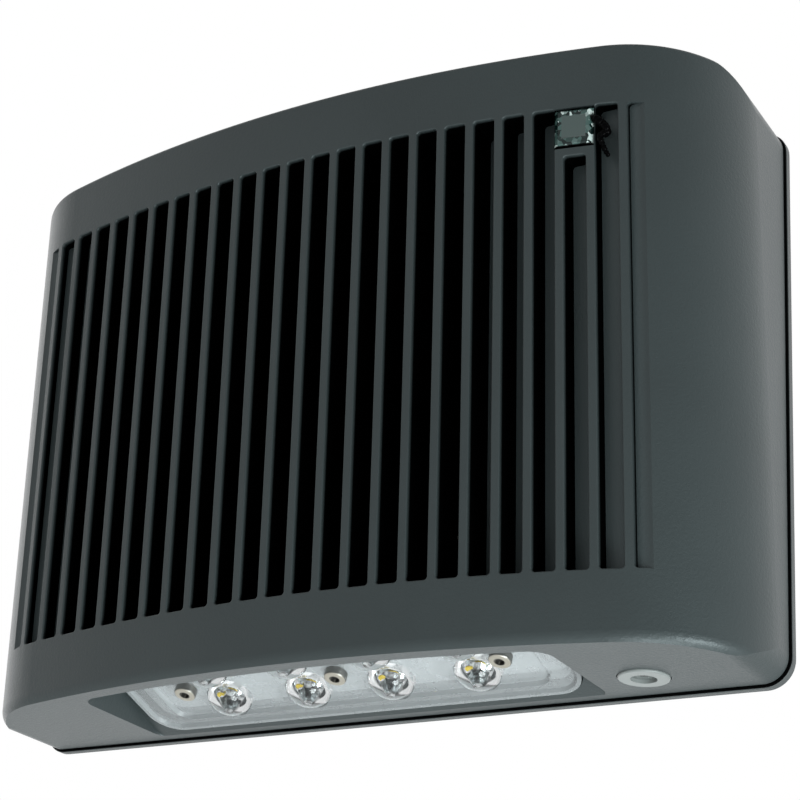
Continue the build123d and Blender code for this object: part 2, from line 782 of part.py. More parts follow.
spring_seat = bushing_end + button_collar_height
spring_length = switch_chamber - button_collar_height
spring_pitch = (spring_length - 2 * spring_wire - 2 * fit_clearance) / spring_turns
with BuildPart() as button_spring:
    with BuildLine(button_plane.offset(spring_seat + spring_wire + fit_clearance)) as coil:
        Helix(spring_pitch, spring_pitch * spring_turns, spring_radius)
    with BuildSketch(Plane(origin=coil.wire() @ 0, z_dir=coil.wire() % 0)):
        Circle(spring_wire)
    sweep()
button_spring.part.label = "button_spring"
export_step(button_spring.part, "parts/button_spring.step")

# Screws that hold the housing, each on a sealing washer
seal_front = housing_screw_seat + screw_seal_thickness
with BuildPart() as housing_screws:
    with BuildSketch(Plane.XZ.offset(seal_front)):
        with Locations(*screw_places):
            Circle(housing_screw_head)
    extrude(amount=housing_screw_head_height)
    with BuildSketch(Plane.XZ.offset(seal_front + housing_screw_head_height)):
        with Locations(*screw_places):
            RegularPolygon(housing_screw_socket / 2, 6, major_radius=False)
    extrude(amount=-housing_screw_head_height / 2, mode=Mode.SUBTRACT)
    with BuildSketch(Plane.XZ.offset(housing_screw_end)):
        with Locations(*screw_places):
            Circle(housing_screw_shank)
    extrude(amount=seal_front - housing_screw_end)
housing_screws.part.label = "housing_screws"
export_step(housing_screws.part, "parts/housing_screws.step")

with BuildPart() as screw_seals:
    with BuildSketch(Plane.XZ.offset(housing_screw_seat)):
        with Locations(*screw_places):
            Circle(screw_seal_radius)
            Circle(housing_screw_shank + fit_clearance, mode=Mode.SUBTRACT)
    extrude(amount=screw_seal_thickness)
screw_seals.part.label = "screw_seals"
export_step(screw_seals.part, "parts/screw_seals.step")


def gear_box(length, height, thickness, z, base):
    # Closed metal box on two screw tabs, its base the given distance from the wall
    tab_x = (length + tab_length) / 2
    with BuildPart() as box:
        with BuildSketch(Plane.XZ.offset(base - thickness)):
            with Locations((0, z)):
                Rectangle(length, height)
        extrude(amount=thickness)
        fillet(box.faces().sort_by(Axis.Y)[-1].edges(), radius=gear_edge_round)
        with BuildSketch(Plane.XZ.offset(base - tab_thickness)):
            with Locations((-tab_x, z), (tab_x, z)):
                Rectangle(tab_length, tab_width)
                Circle(gear_screw_radius + screw_clearance, mode=Mode.SUBTRACT)
        extrude(amount=tab_thickness)
    return box


def gear_screws(tab_x, z, base, tab):
    # Two screws through the tabs into the bosses
    with BuildPart() as screws:
        with BuildSketch(Plane.XZ.offset(base - tab - gear_screw_head_height)):
            with Locations((-tab_x, z), (tab_x, z)):
                Circle(gear_screw_head)
        extrude(amount=gear_screw_head_height)
        with BuildSketch(Plane.XZ.offset(base - tab)):
            with Locations((-tab_x, z), (tab_x, z)):
                Circle(gear_screw_radius)
        extrude(amount=tab + gear_screw_reach)
    return screws


# Driver of the light board
led_driver = gear_box(driver_length, driver_height, driver_thickness, driver_z, driver_base)
led_driver.part.label = "led_driver"
export_step(led_driver.part, "parts/led_driver.step")

driver_screws = gear_screws(driver_tab_x, driver_z, driver_base, tab_thickness)
driver_screws.part.label = "driver_screws"
export_step(driver_screws.part, "parts/driver_screws.step")

# Charger of the backup battery
charger_unit = gear_box(charger_length, charger_height, charger_thickness, charger_z, charger_base)
charger_unit.part.label = "charger_unit"
export_step(charger_unit.part, "parts/charger_unit.step")

charger_screws = gear_screws(charger_tab_x, charger_z, charger_base, tab_thickness)
charger_screws.part.label = "charger_screws"
export_step(charger_screws.part, "parts/charger_screws.step")

# Backup battery: cells in line in a channel with two screw tabs
cell_axis = cradle_base - cradle_wall - cradle_clearance - cell_radius
channel_half = cell_radius + cradle_clearance
with BuildPart() as battery_cells:
    for cell in range(cell_count):
        cell_start = -battery_length / 2 + cell * (cell_length + cell_gap)
        with BuildSketch(Plane.YZ.offset(cell_start + cell_cap_height)):
            with Locations((-cell_axis, battery_z)):
                Circle(cell_radius)
        extrude(amount=cell_length - cell_cap_height)
        with BuildSketch(Plane.YZ.offset(cell_start)):
            with Locations((-cell_axis, battery_z)):
                Circle(cell_cap_radius)
        extrude(amount=cell_cap_height)
battery_cells.part.label = "battery_cells"
export_step(battery_cells.part, "parts/battery_cells.step")

with BuildPart() as battery_cradle:
    with BuildSketch(Plane.XZ.offset(cradle_base - cradle_lap)):
        with Locations((0, battery_z)):
            Rectangle(battery_length, 2 * (channel_half + cradle_wall))
    extrude(amount=cradle_lap)
    with BuildSketch(Plane.XZ.offset(cradle_base - cradle_lap)):
        with Locations((0, battery_z)):
            Rectangle(battery_length, 2 * channel_half)
    extrude(amount=cradle_lap - cradle_wall, mode=Mode.SUBTRACT)
    with BuildSketch(Plane.XZ.offset(cradle_base - cradle_wall)):
        with Locations((-cradle_tab_x, battery_z), (cradle_tab_x, battery_z)):
            Rectangle(tab_length, tab_width)
            Circle(gear_screw_radius + screw_clearance, mode=Mode.SUBTRACT)
    extrude(amount=cradle_wall)
battery_cradle.part.label = "battery_cradle"
export_step(battery_cradle.part, "parts/battery_cradle.step")

cradle_screws = gear_screws(cradle_tab_x, battery_z, cradle_base, cradle_wall)
cradle_screws.part.label = "cradle_screws"
export_step(cradle_screws.part, "parts/cradle_screws.step")

# Pieces on the wall plate: cable grommet, terminal block and ground screw
with BuildPart() as cable_grommet:
    with BuildSketch(Plane.XZ):
        Circle(wire_hole_radius - grommet_fit)
    extrude(amount=plate_thickness)
    with BuildSketch(Plane.XZ.offset(plate_thickness)):
        Circle(grommet_flange_radius)
    extrude(amount=grommet_flange)
    with BuildSketch(Plane.XZ):
        Circle(grommet_bore)
    extrude(amount=plate_thickness + grommet_flange, mode=Mode.SUBTRACT)
cable_grommet.part.label = "cable_grommet"
export_step(cable_grommet.part, "parts/cable_grommet.step")

terminal_front = plate_thickness + terminal_thickness
terminal_screw_z = terminal_z + terminal_height / 4
with BuildPart() as terminal_block:
    with BuildSketch(Plane.XZ.offset(plate_thickness)):
        with Locations((terminal_x, terminal_z)):
            Rectangle(terminal_length, terminal_height)
    extrude(amount=terminal_thickness)
    with BuildSketch(Plane.XZ.offset(terminal_front)):
        with Locations((terminal_x, terminal_screw_z)):
            with GridLocations(terminal_way_pitch, 0, terminal_ways, 1):
                Circle(terminal_screw_radius + fit_clearance)
    extrude(amount=-terminal_screw_sink - terminal_screw_length, mode=Mode.SUBTRACT)
terminal_block.part.label = "terminal_block"
export_step(terminal_block.part, "parts/terminal_block.step")

with BuildPart() as terminal_screws:
    with BuildSketch(Plane.XZ.offset(terminal_front - terminal_screw_sink)):
        with Locations((terminal_x, terminal_screw_z)):
            with GridLocations(terminal_way_pitch, 0, terminal_ways, 1):
                Circle(terminal_screw_radius)
    extrude(amount=-terminal_screw_length)
terminal_screws.part.label = "terminal_screws"
export_step(terminal_screws.part, "parts/terminal_screws.step")

ground_front = plate_thickness + ground_boss_height
with BuildPart() as ground_screw:
    with BuildSketch(Plane.XZ.offset(ground_front)):
        with Locations((ground_x, ground_z)):
            RegularPolygon(ground_head_across / 2, 6, major_radius=False)
    extrude(amount=ground_head_height)
    with BuildSketch(Plane.XZ.offset(plate_thickness)):
        with Locations((ground_x, ground_z)):
            Circle(ground_screw_radius)
    extrude(amount=ground_boss_height)
ground_screw.part.label = "ground_screw"
export_step(ground_screw.part, "parts/ground_screw.step")

# Grommet where the light board's lead leaves the tray
with BuildPart() as led_grommet:
    with BuildSketch(optic_plane.offset(-tray_face)):
        with Locations((led_lead_x, lens_mid)):
            Circle(led_grommet_radius - fit_clearance)
    extrude(amount=-tray_wall)
    with BuildSketch(optic_plane.offset(-tray_back)):
        with Locations((led_lead_x, lens_mid)):
            Circle(led_grommet_flange)
    extrude(amount=-led_grommet_lip)
    with BuildSketch(optic_plane.offset(-tray_face)):
        with Locations((led_lead_x, lens_mid)):
            Circle(lead_radius + fit_clearance)
    extrude(amount=-tray_wall - led_grommet_lip, mode=Mode.SUBTRACT)
led_grommet.part.label = "led_grommet"
export_step(led_grommet.part, "parts/led_grommet.step")

# Leads, each along a route chosen by hand between the pieces that it joins
led_lead_start = optic_plane.from_local_coords((led_lead_x, lens_mid, -pad_face))
led_lead_rise = optic_plane.from_local_coords((led_lead_x, lens_mid, -pad_face - 17.0))
led_run_x = led_lead_x - 12.0
driver_lead_y = driver_base - driver_thickness / 2
battery_lead_y = cell_axis + cell_radius / 3
charger_lead_y = charger_base - charger_thickness * 0.8
link_y = (driver_base + charger_base) / 2 - charger_thickness / 2
led_route = [
    led_lead_start,
    led_lead_rise,
    (led_run_x, -30.0, -52.0),
    (led_run_x, -driver_lead_y, -2.0),
    (-driver_length / 2, -driver_lead_y, -2.0),
]
battery_run_x = battery_length / 2 + 11.5
battery_route = [
    (battery_length / 2, -battery_lead_y, battery_z),
    (battery_run_x, -battery_lead_y, battery_z),
    (battery_run_x, -battery_lead_y, charger_z + 1.0),
    (charger_length / 2, -battery_lead_y, charger_z + 1.0),
]
switch_route = [
    (button_x, -button_setback, underside + switch_top),
    (button_x, -button_setback, charger_z + 6.0),
    (button_x, -charger_lead_y, charger_z + 6.0),
    (charger_length / 2, -charger_lead_y, charger_z + 6.0),
]
photocell_start = sensor_plane.from_local_coords((0, 0, -sensor_inside - holder_flange))
photocell_turn = sensor_plane.from_local_coords((0, 0, -sensor_inside - holder_flange - 18.0))
photocell_route = [
    photocell_start,
    photocell_turn,
    (window_x - 20.0, photocell_turn.Y, photocell_turn.Z),
    (window_x - 20.0, photocell_turn.Y, charger_z - 5.0),
    (charger_length / 2, photocell_turn.Y, charger_z - 5.0),
]
link_route = [
    (0.0, -link_y, driver_z + driver_height / 2),
    (0.0, -link_y, charger_z - charger_height / 2),
]
supply_z = terminal_z - terminal_height / 4
outer_supply_route = [
    (-driver_length / 2, -driver_base + 7.0, supply_z),
    (terminal_x - terminal_way_pitch, -driver_base + 7.0, supply_z),
    (terminal_x - terminal_way_pitch, -terminal_front, supply_z),
]
inner_supply_route = [
    (-driver_length / 2, -driver_base + 17.0, supply_z),
    (terminal_x + terminal_way_pitch, -driver_base + 17.0, supply_z),
    (terminal_x + terminal_way_pitch, -terminal_front, supply_z),
]

led_lead = lead_tube(led_route, lead_radius, lead_bend)
led_lead.label = "led_lead"
export_step(led_lead, "parts/led_lead.step")

battery_lead = lead_tube(battery_route, lead_radius, lead_bend)
battery_lead.label = "battery_lead"
export_step(battery_lead, "parts/battery_lead.step")

switch_lead = lead_tube(switch_route, lead_radius, lead_bend)
switch_lead.label = "switch_lead"
export_step(switch_lead, "parts/switch_lead.step")

photocell_lead = lead_tube(photocell_route, lead_radius, lead_bend)
photocell_lead.label = "photocell_lead"
export_step(photocell_lead, "parts/photocell_lead.step")

link_lead = lead_tube(link_route, lead_radius, lead_bend)
link_lead.label = "link_lead"
export_step(link_lead, "parts/link_lead.step")

with BuildPart() as supply_leads:
    add(lead_tube(outer_supply_route, wire_radius, lead_bend))
    add(lead_tube(inner_supply_route, wire_radius, lead_bend))
supply_leads.part.label = "supply_leads"
export_step(supply_leads.part, "parts/supply_leads.step")
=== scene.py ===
import json
import math

import bmesh
import bpy
from mathutils import Matrix, Vector


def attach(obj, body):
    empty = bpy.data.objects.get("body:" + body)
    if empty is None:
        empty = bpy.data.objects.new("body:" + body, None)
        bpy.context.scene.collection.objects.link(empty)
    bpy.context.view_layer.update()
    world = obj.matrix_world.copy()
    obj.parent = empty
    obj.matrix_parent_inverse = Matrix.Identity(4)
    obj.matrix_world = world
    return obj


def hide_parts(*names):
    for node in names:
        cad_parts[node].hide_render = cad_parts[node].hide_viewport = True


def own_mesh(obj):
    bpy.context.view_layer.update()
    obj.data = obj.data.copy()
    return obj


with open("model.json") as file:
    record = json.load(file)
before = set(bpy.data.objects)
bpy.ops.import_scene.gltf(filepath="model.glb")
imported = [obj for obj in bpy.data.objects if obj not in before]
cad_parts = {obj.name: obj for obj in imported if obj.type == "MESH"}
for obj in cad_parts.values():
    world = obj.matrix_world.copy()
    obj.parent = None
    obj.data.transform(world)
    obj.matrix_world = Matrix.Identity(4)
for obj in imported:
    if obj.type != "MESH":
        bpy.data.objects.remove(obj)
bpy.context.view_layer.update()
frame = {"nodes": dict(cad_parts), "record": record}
print("stage: CAD loaded")


# Shader maths on sockets, each result is a new wire in the same tree
class Wire:
    def __init__(self, tree, socket=None):
        self.tree = tree
        self.socket = socket

    def node(self, kind, links=None, output=0, **settings):
        made = self.tree.nodes.new(kind)
        for name, value in settings.items():
            setattr(made, name, value)
        for name, value in (links or {}).items():
            if isinstance(value, Wire):
                self.tree.links.new(value.socket, made.inputs[name])
            else:
                made.inputs[name].default_value = value
        return Wire(self.tree, made.outputs[output] if made.outputs else None)

    def maths(self, operation, *values):
        return self.node("ShaderNodeMath", dict(enumerate(values)), operation=operation)

    def __add__(self, other):
        return self.maths("ADD", self, other)

    __radd__ = __add__

    def __sub__(self, other):
        return self.maths("SUBTRACT", self, other)

    def __rsub__(self, other):
        return self.maths("SUBTRACT", other, self)

    def __mul__(self, other):
        return self.maths("MULTIPLY", self, other)

    __rmul__ = __mul__

    def __truediv__(self, other):
        return self.maths("DIVIDE", self, other)

    def __rtruediv__(self, other):
        return self.maths("DIVIDE", other, self)


def ramp(wire, low, high):
    return wire.node(
        "ShaderNodeMapRange",
        {"Value": wire, "From Min": low, "From Max": high},
        interpolation_type="SMOOTHSTEP",
    )


def noise(start, place, size, detail=3.0):
    return start.node("ShaderNodeTexNoise", {"Vector": place, "Scale": 1.0 / size, "Detail": detail})


def blend(factor, first, second):
    return factor.node("ShaderNodeMix", {0: factor, 6: first, 7: second}, output=2, data_type="RGBA")


def parts(vector):
    split = vector.node("ShaderNodeSeparateXYZ", {0: vector}).socket.node
    return [Wire(vector.tree, split.outputs[axis]) for axis in "XYZ"]


def newTree(name):
    material = bpy.data.materials.new(name)
    material.use_nodes = True
    material.node_tree.nodes.clear()
    return material, Wire(material.node_tree)


def close(start, shader):
    start.node("ShaderNodeOutputMaterial", {"Surface": shader})


def tint(colour, amount=1.0):
    return tuple(channel * amount for channel in colour[:3]) + (1.0,)


def objectPlace(start):
    return start.node("ShaderNodeTexCoord", output="Object")


def bump(height, distance):
    return height.node("ShaderNodeBump", {"Height": height, "Distance": distance, "Strength": 1.0})


def absolute(wire):
    return wire.maths("ABSOLUTE", wire)


def below(wire, limit):
    return wire.maths("LESS_THAN", wire, limit)


def length(first, second):
    return first.maths("SQRT", first * first + second * second)


# Distance along a row of points to the nearest one
def fromNearest(wire, pitch, shift):
    return (wire.maths("FRACT", wire / pitch + shift) - 0.5) * pitch


# A colour that varies about its mean, and a roughness that does
def varied(factor, look):
    darker, paler = (tint(look["colour"], 1.0 + sign * look["spread"]) for sign in (-1, 1))
    return blend(factor, darker, paler)


def variedRough(grain, look):
    return grain * look["roughSpread"] + (look["rough"] - look["roughSpread"] / 2)


def principled(start, links):
    return start.node("ShaderNodeBsdfPrincipled", links)


def matt(start, colour):
    return start.node("ShaderNodeBsdfDiffuse", {"Color": tint(colour)})


def mixShaders(factor, first, second):
    return factor.node("ShaderNodeMixShader", {0: factor, 1: first, 2: second})


# One general finish: blotches in the colour, a fine grain in the roughness and the relief
blotch = {"edges": (0.3, 0.7), "share": 0.6}


def blotches(start, place, size):
    return ramp(noise(start, place, size), *blotch["edges"])


def finish(name, look):
    material, start = newTree(name)
    place = objectPlace(start)
    patch = blotches(start, place, look["patch"])
    grain = noise(start, place, look["grain"])
    links = {
        "Base Color": varied(patch * blotch["share"] + grain * (1.0 - blotch["share"]), look),
        "Roughness": variedRough(grain, look),
        "Normal": bump(grain, look["relief"]),
        "Metallic": look.get("metal", 0.0),
    }
    links.update(look.get("fixed", {}))
    close(start, principled(start, links))
    return material


looks = {
    "black_rubber": {
        "colour": (0.004, 0.004, 0.004),
        "rough": 0.62,
        "roughSpread": 0.2,
        "patch": 0.01,
        "grain": 0.0006,
        "spread": 0.2,
        "relief": 0.00003,
        "fixed": {"Specular IOR Level": 0.12},
    },
    "white_board": {
        "colour": (0.72, 0.76, 0.77),
        "rough": 0.35,
        "roughSpread": 0.1,
        "patch": 0.01,
        "grain": 0.0005,
        "spread": 0.03,
        "relief": 0.00001,
    },
    "thermal_grey": {
        "colour": (0.3, 0.32, 0.34),
        "rough": 0.7,
        "roughSpread": 0.1,
        "patch": 0.01,
        "grain": 0.0006,
        "spread": 0.08,
        "relief": 0.00003,
    },
    "ceramic_white": {
        "colour": (0.85, 0.85, 0.82),
        "rough": 0.3,
        "roughSpread": 0.1,
        "patch": 0.002,
        "grain": 0.0003,
        "spread": 0.03,
        "relief": 0.00001,
    },
    "phosphor": {
        "colour": (0.85, 0.62, 0.08),
        "rough": 0.55,
        "roughSpread": 0.1,
        "patch": 0.002,
        "grain": 0.0002,
        "spread": 0.06,
        "relief": 0.00001,
    },
    "stainless": {
        "colour": (0.62, 0.6, 0.55),
        "rough": 0.28,
        "roughSpread": 0.12,
        "patch": 0.004,
        "grain": 0.0003,
        "spread": 0.06,
        "relief": 0.00001,
        "metal": 1.0,
    },
    "zinc_steel": {
        "colour": (0.5, 0.51, 0.53),
        "rough": 0.35,
        "roughSpread": 0.15,
        "patch": 0.003,
        "grain": 0.0003,
        "spread": 0.1,
        "relief": 0.00001,
        "metal": 1.0,
    },
    "white_plastic": {
        "colour": (0.19, 0.208, 0.204),
        "rough": 0.4,
        "roughSpread": 0.1,
        "patch": 0.008,
        "grain": 0.0004,
        "spread": 0.03,
        "relief": 0.00001,
    },
    "grey_plastic": {
        "colour": (0.105, 0.118, 0.115),
        "rough": 0.4,
        "roughSpread": 0.1,
        "patch": 0.006,
        "grain": 0.0004,
        "spread": 0.05,
        "relief": 0.00001,
    },
    "black_plastic": {
        "colour": (0.02, 0.02, 0.02),
        "rough": 0.5,
        "roughSpread": 0.15,
        "patch": 0.006,
        "grain": 0.0004,
        "spread": 0.15,
        "relief": 0.00002,
    },
    "sensor_tan": {
        "colour": (0.5, 0.33, 0.2),
        "rough": 0.3,
        "roughSpread": 0.1,
        "patch": 0.002,
        "grain": 0.0004,
        "spread": 0.1,
        "relief": 0.00001,
    },
    "gear_case": {
        "colour": (0.7, 0.71, 0.71),
        "rough": 0.42,
        "roughSpread": 0.12,
        "patch": 0.02,
        "grain": 0.0007,
        "spread": 0.04,
        "relief": 0.00003,
    },
    "cell_wrap": {
        "colour": (0.06, 0.16, 0.32),
        "rough": 0.32,
        "roughSpread": 0.1,
        "patch": 0.012,
        "grain": 0.0008,
        "spread": 0.08,
        "relief": 0.00003,
    },
    "brass": {
        "colour": (0.6, 0.45, 0.2),
        "rough": 0.32,
        "roughSpread": 0.15,
        "patch": 0.004,
        "grain": 0.0003,
        "spread": 0.1,
        "relief": 0.00001,
        "metal": 1.0,
    },
    "green_zinc": {
        "colour": (0.12, 0.4, 0.18),
        "rough": 0.35,
        "roughSpread": 0.15,
        "patch": 0.004,
        "grain": 0.0003,
        "spread": 0.1,
        "relief": 0.00001,
        "metal": 1.0,
    },
    "lead_jacket": {
        "colour": (0.03, 0.03, 0.03),
        "rough": 0.5,
        "roughSpread": 0.15,
        "patch": 0.008,
        "grain": 0.0005,
        "spread": 0.12,
        "relief": 0.00002,
    },
    "supply_jacket": {
        "colour": (0.45, 0.45, 0.45),
        "rough": 0.5,
        "roughSpread": 0.15,
        "patch": 0.008,
        "grain": 0.0005,
        "spread": 0.06,
        "relief": 0.00002,
    },
}
materials = {name: finish(name, look) for name, look in looks.items()}

# Satin powder coat: fine peel, painted light as a paler coat on the slots' floors and painted shade as
# black side walls in them
coat = {
    "colour": (0.0285, 0.0375, 0.0385),
    "rough": 0.41,
    "roughSpread": 0.16,
    "gloss": (0.9, 0.98, 1.0, 1.0),
    "peel": 0.0011,
    "peelShare": 0.6,
    "grain": 0.00045,
    "detail": 2.0,
    "relief": 0.00014,
    "spread": 0.1,
    "patch": 0.05,
    "patchShare": 0.5,
    "frontDepth": 0.0814,
    "frontLean": math.tan(math.radians(5.4)),
    "frontRadius": 0.529,
    "endRadius": 0.048,
    "endCentre": (0.1046, 0.0595),
    "endStart": 0.115,
    "slotStart": 0.0004,
    "slotFull": 0.0022,
    # Painted light on the slots' floors and painted shade on their side walls
    "floorPaintedLight": 1.6,
    "wallPaintedShade": 0.985,
    "wallFacing": (0.35, 0.85),
    "slotReach": (0.132, 0.0811),
}


def powderCoat():
    material, start = newTree("powder_coat")
    place = objectPlace(start)
    across, inward, upward = parts(place)
    side = absolute(across)
    onFront = below(side, coat["endStart"])
    front = coat["frontRadius"] - start.maths("SQRT", coat["frontRadius"] ** 2 - across * across)
    past = start.maths("MAXIMUM", side - coat["endCentre"][0], 0.0)
    end = coat["endCentre"][1] - start.maths("SQRT", coat["endRadius"] ** 2 - past * past)
    behind = inward + coat["frontDepth"] + upward * coat["frontLean"]
    behind = behind - front * onFront - end * (1.0 - onFront)
    inside = below(side, coat["slotReach"][0]) * below(absolute(upward), coat["slotReach"][1])
    facing = parts(start.node("ShaderNodeNewGeometry", output="True Normal"))[1]
    wall = 1.0 - ramp(absolute(facing), *coat["wallFacing"])
    # Depth into the slots: the mask for the painted light on their floors and the painted shade on their
    # walls
    down = ramp(behind, coat["slotStart"], coat["slotFull"]) * inside
    peel = noise(start, place, coat["peel"], coat["detail"])
    grain = noise(start, place, coat["grain"], coat["detail"])
    patch = blotches(start, place, coat["patch"])
    tone = varied(patch * coat["patchShare"] + grain * (1.0 - coat["patchShare"]), coat)
    links = {
        # The slots' floors get a paler coat: painted light
        "Base Color": blend(down * (1.0 - wall), tone, tint(coat["colour"], coat["floorPaintedLight"])),
        "Roughness": variedRough(grain, coat),
        "Normal": bump(peel * coat["peelShare"] + grain * (1.0 - coat["peelShare"]), coat["relief"]),
        "Specular Tint": coat["gloss"],
    }
    # The slots' side walls turn black: painted shade
    paintedShadeBlack = matt(start, (0.0, 0.0, 0.0))
    close(start, mixShaders(down * wall * coat["wallPaintedShade"], principled(start, links), paintedShadeBlack))
    return material


# Wall plate: a greyer coat, with painted shade: black on the front face, where the gap to the housing
# keeps it in shadow
plate = {
    "colour": (0.046, 0.054, 0.055),
    "rough": 0.5,
    "roughSpread": 0.2,
    "grain": 0.0008,
    "spread": 0.12,
    "relief": 0.00006,
    "dark": 0.96,
    "facing": (0.7, 0.95),
}


def plateCoat():
    material, start = newTree("plate_coat")
    grain = noise(start, objectPlace(start), plate["grain"])
    links = {
        "Base Color": varied(grain, plate),
        "Roughness": variedRough(grain, plate),
        "Normal": bump(grain, plate["relief"]),
    }
    facing = parts(start.node("ShaderNodeNewGeometry", output="True Normal"))[1]
    # Faces turned to the front go black: painted shade of the gap
    front = ramp(0.0 - facing, *plate["facing"])
    close(start, mixShaders(front * plate["dark"], principled(start, links), matt(start, (0.0, 0.0, 0.0))))
    return material


# Moulded optic: clear domes in a slightly milky plate
optic = {
    "place": (0.0, -0.0116, -0.1023),
    "tilt": math.radians(18.0),
    "middle": 0.0221,
    "pitch": 0.034,
    "rowPitch": 0.0175,
    "columns": 4,
    "rows": 2,
    "reach": 0.062,
    "dome": 0.0084,
    "depth": 0.0175,
    "index": 1.49,
    "clear": (0.94, 0.965, 0.97),
    "clearRough": 0.03,
    "milk": (0.5, 0.535, 0.545),
    "milkCover": 0.39,
    "milkCoverSpread": 0.06,
    "milkRough": 0.18,
    "milkRoughSpread": 0.1,
    "grain": 0.006,
    "relief": 0.00001,
}


# How far a point lies in front of the optic's middle line, along its tilted plane
def alongOptic(inward, upward):
    forward = (optic["place"][1] - inward) * math.cos(optic["tilt"])
    return forward + (upward - optic["place"][2]) * math.sin(optic["tilt"]) - optic["middle"]


def clearOptic():
    material, start = newTree("clear_optic")
    place = objectPlace(start)
    across, inward, upward = parts(place)
    forward = alongOptic(inward, upward)
    away = length(fromNearest(across, optic["pitch"], 0.0), fromNearest(forward, optic["rowPitch"], 0.0))
    dome = below(away, optic["dome"]) * below(absolute(across), optic["reach"])
    dome = dome * below(absolute(forward), optic["depth"])
    grain = noise(start, place, optic["grain"])
    relief = bump(grain, optic["relief"])
    clear = {
        "Base Color": tint(optic["clear"]),
        "Roughness": grain * optic["clearRough"],
        "Normal": relief,
        "Transmission Weight": 1.0,
        "IOR": optic["index"],
    }
    milk = {
        "Base Color": tint(optic["milk"]),
        "Roughness": grain * optic["milkRoughSpread"] + optic["milkRough"],
        "Normal": relief,
        "Alpha": grain * optic["milkCoverSpread"] + optic["milkCover"],
        "IOR": optic["index"],
    }
    close(start, mixShaders(dome, principled(start, milk), principled(start, clear)))
    return material


# Pressed window glass: a plain middle, painted reflections and painted shade as bright and dark facets on
# the bevels, and a black band at the rim
glass = {
    "place": (0.106, -0.0778, 0.0731),
    "turn": math.asin(0.106 / coat["frontRadius"]),
    "middle": (0.004, 0.004),
    "border": (0.0066, 0.0065),
    "soft": 0.0003,
    "plain": (0.075, 0.105, 0.1),
    # Facet colours: dark for painted shade, teal between, pale for painted reflections
    "dark": (0.004, 0.014, 0.013),
    "teal": (0.06, 0.115, 0.105),
    "pale": (0.6, 0.72, 0.69),
    "facet": 0.0016,
    "darkToTeal": (0.2, 0.55),
    "tealToPale": (0.72, 0.9),
    "rimBlack": (0.001, 0.001, 0.001),
    "rough": 0.03,
    "roughSpread": 0.08,
    "through": 0.15,
    "index": 1.5,
    "relief": 0.0003,
}


def windowGlass():
    material, start = newTree("window_glass")
    place = objectPlace(start)
    across, inward, upward = parts(place)
    along = (across - glass["place"][0]) * math.cos(glass["turn"])
    along = absolute(along + (inward - glass["place"][1]) * math.sin(glass["turn"]))
    aside = absolute(upward - glass["place"][2])
    outer = start.maths("MAXIMUM", along - glass["middle"][0], aside - glass["middle"][1])
    edge = ramp(outer, 0.0, glass["soft"])
    cells = {"Vector": place, "Scale": 1.0 / glass["facet"]}
    shade, tilt, polish = parts(start.node("ShaderNodeTexVoronoi", cells, output="Color"))
    # Dark and pale facets on the bevels: painted shade and painted reflections
    facetLightAndShade = blend(ramp(shade, *glass["darkToTeal"]), tint(glass["dark"]), tint(glass["teal"]))
    facetLightAndShade = blend(ramp(shade, *glass["tealToPale"]), facetLightAndShade, tint(glass["pale"]))
    rim = start.maths("MAXIMUM", along - glass["border"][0], aside - glass["border"][1])
    links = {
        "Base Color": blend(edge, tint(glass["plain"]), facetLightAndShade),
        "Roughness": polish * glass["roughSpread"] + glass["rough"],
        "Normal": bump(tilt * edge, glass["relief"]),
        "Transmission Weight": glass["through"],
        "IOR": glass["index"],
    }
    # A black band around the rim of the glass
    rimBlack = ramp(rim, 0.0, glass["soft"])
    close(start, mixShaders(rimBlack, principled(start, links), matt(start, glass["rimBlack"])))
    return material


# Lens screws: a bright ring between painted shade, dark, in the socket and painted shade, grey, at the
# head's edge
screw = {
    "pitch": 0.0642,
    "socket": (0.0016, 0.0022),
    "edge": (0.0036, 0.0039),
    "ring": (0.5, 0.48, 0.41),
    # Colours of the painted shade at the head's edge and in the socket
    "side": (0.2, 0.2, 0.19),
    "dark": (0.02, 0.019, 0.017),
    "metal": 0.8,
    "rough": 0.3,
    "roughSpread": 0.1,
    "grain": 0.0003,
    "relief": 0.00001,
}


def lensScrew():
    material, start = newTree("lens_screw")
    place = objectPlace(start)
    across, inward, upward = parts(place)
    away = length(fromNearest(across, screw["pitch"], 0.5), alongOptic(inward, upward))
    # Dark in the socket: painted shade
    bright = ramp(away, *screw["socket"])
    head = blend(bright, tint(screw["dark"]), tint(screw["ring"]))
    grain = noise(start, place, screw["grain"])
    links = {
        # Grey at the head's edge: painted shade
        "Base Color": blend(ramp(away, *screw["edge"]), head, tint(screw["side"])),
        "Roughness": grain * screw["roughSpread"] + screw["rough"],
        "Normal": bump(grain, screw["relief"]),
        "Metallic": bright * screw["metal"],
    }
    close(start, principled(start, links))
    return material


# Smoky indicator lens, darker in its middle
lens = {
    "rim": (0.14, 0.158, 0.152),
    "middle": (0.035, 0.041, 0.04),
    "fade": (0.0008, 0.0026),
    "rough": 0.2,
    "roughSpread": 0.1,
    "grain": 0.0004,
    "relief": 0.00001,
}


def smokeLens():
    material, start = newTree("smoke_lens")
    place = objectPlace(start)
    corners = [Vector(corner) for corner in frame["nodes"]["indicator_lens"].bound_box]
    centre = sum(corners, Vector()) / len(corners)
    across, inward = parts(place)[:2]
    away = length(across - centre.x, inward - centre.y)
    grain = noise(start, place, lens["grain"])
    links = {
        "Base Color": blend(ramp(away, *lens["fade"]), tint(lens["middle"]), tint(lens["rim"])),
        "Roughness": grain * lens["roughSpread"] + lens["rough"],
        "Normal": bump(grain, lens["relief"]),
    }
    close(start, principled(start, links))
    return material


